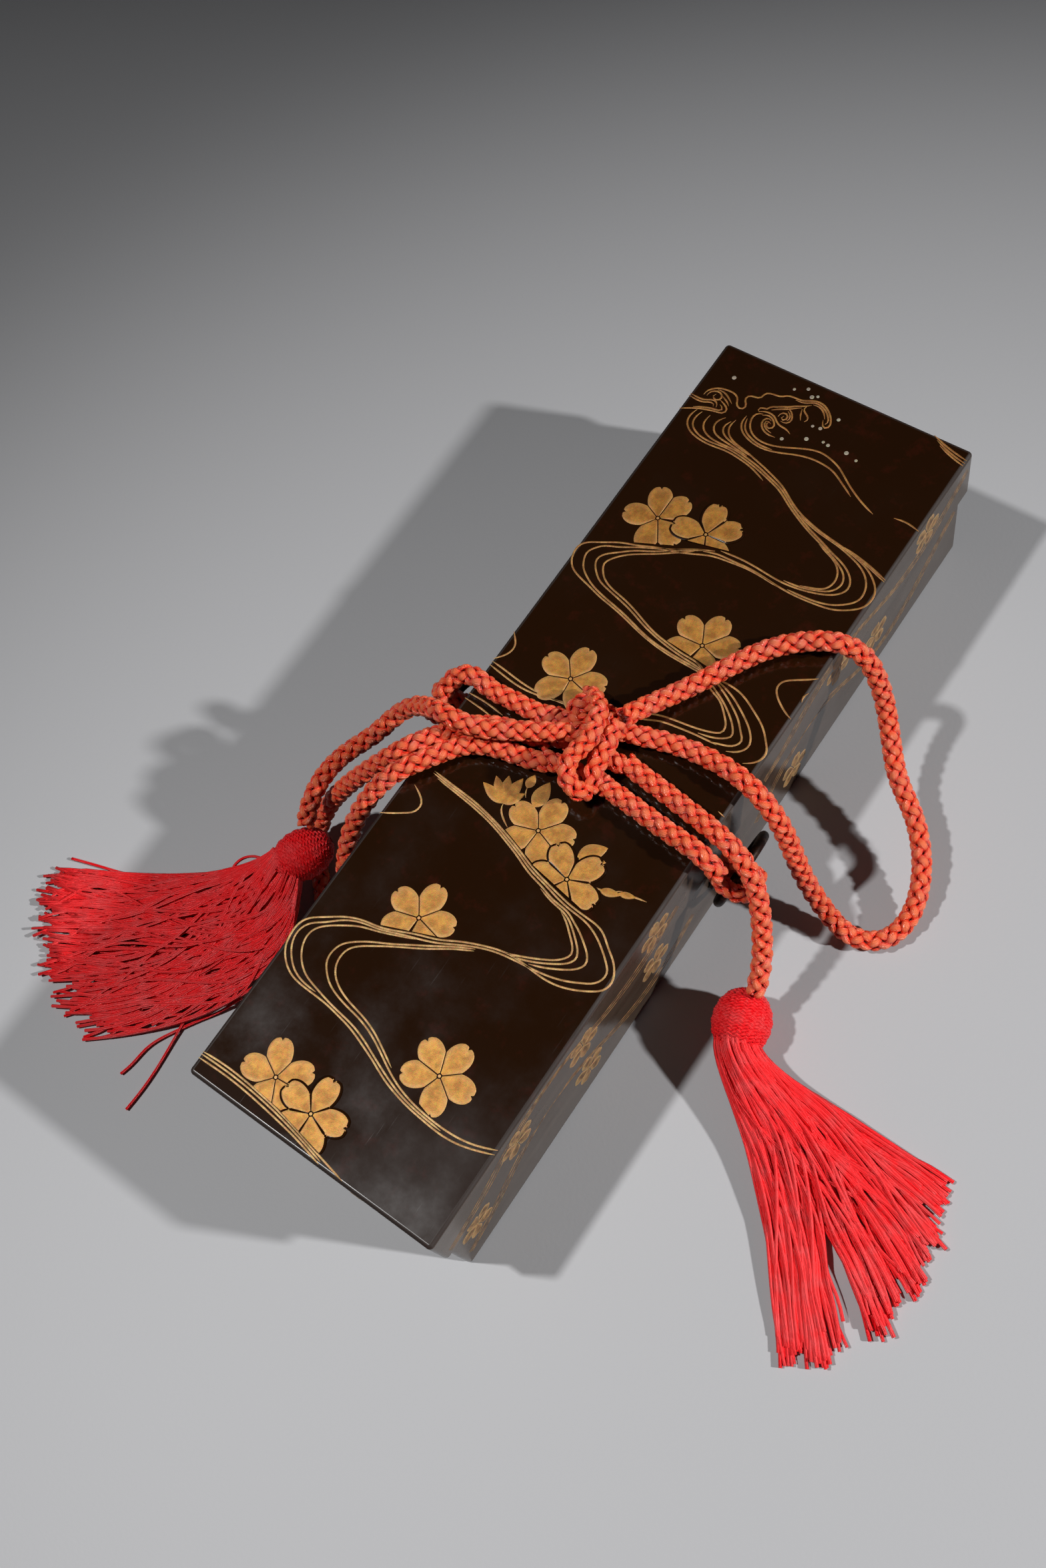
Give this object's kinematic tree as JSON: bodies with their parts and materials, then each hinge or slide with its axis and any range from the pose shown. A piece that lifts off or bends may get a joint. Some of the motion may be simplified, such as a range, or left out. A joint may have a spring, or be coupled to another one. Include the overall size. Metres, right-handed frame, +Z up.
{
  "type": "lacquer letter box",
  "caption": "Long lacquered wooden letter box with a lift-off lid, gold decoration, a ring on each long side, and a braided silk cord tied over the lid in a bow with a tassel at each end.",
  "frame": {"origin": "under the middle of the box, on the surface that it stands on", "axes": "+Y along the box's length, +X across it, +Z up"},
  "size_m": [0.2743, 0.2659, 0.063],
  "materials": {
    "lacquer": "polished near-black brown lacquer on wood, with gold lacquer pictures",
    "patinated_metal": "dark patinated copper alloy, satin",
    "braided_silk": "round braid of coral-red silk",
    "silk_thread": "loose red silk threads under a netted head"
  },
  "bodies": {
    "root": {"box_body": "lacquer", "lid": "lacquer", "ring_plate_left": "patinated_metal", "ring_plate_right": "patinated_metal", "ring_left": "patinated_metal", "ring_right": "patinated_metal", "cord_bow_left": "braided_silk", "cord_bow_right": "braided_silk", "cord_tail_left": "braided_silk", "cord_tail_right": "braided_silk", "cord_ring_left": "braided_silk", "cord_ring_right": "braided_silk", "cord_knot": "braided_silk", "cord_hitch_left": "braided_silk", "cord_hitch_right": "braided_silk", "tassel_left": "silk_thread", "tassel_right": "silk_thread"}
  },
  "joints": []
}
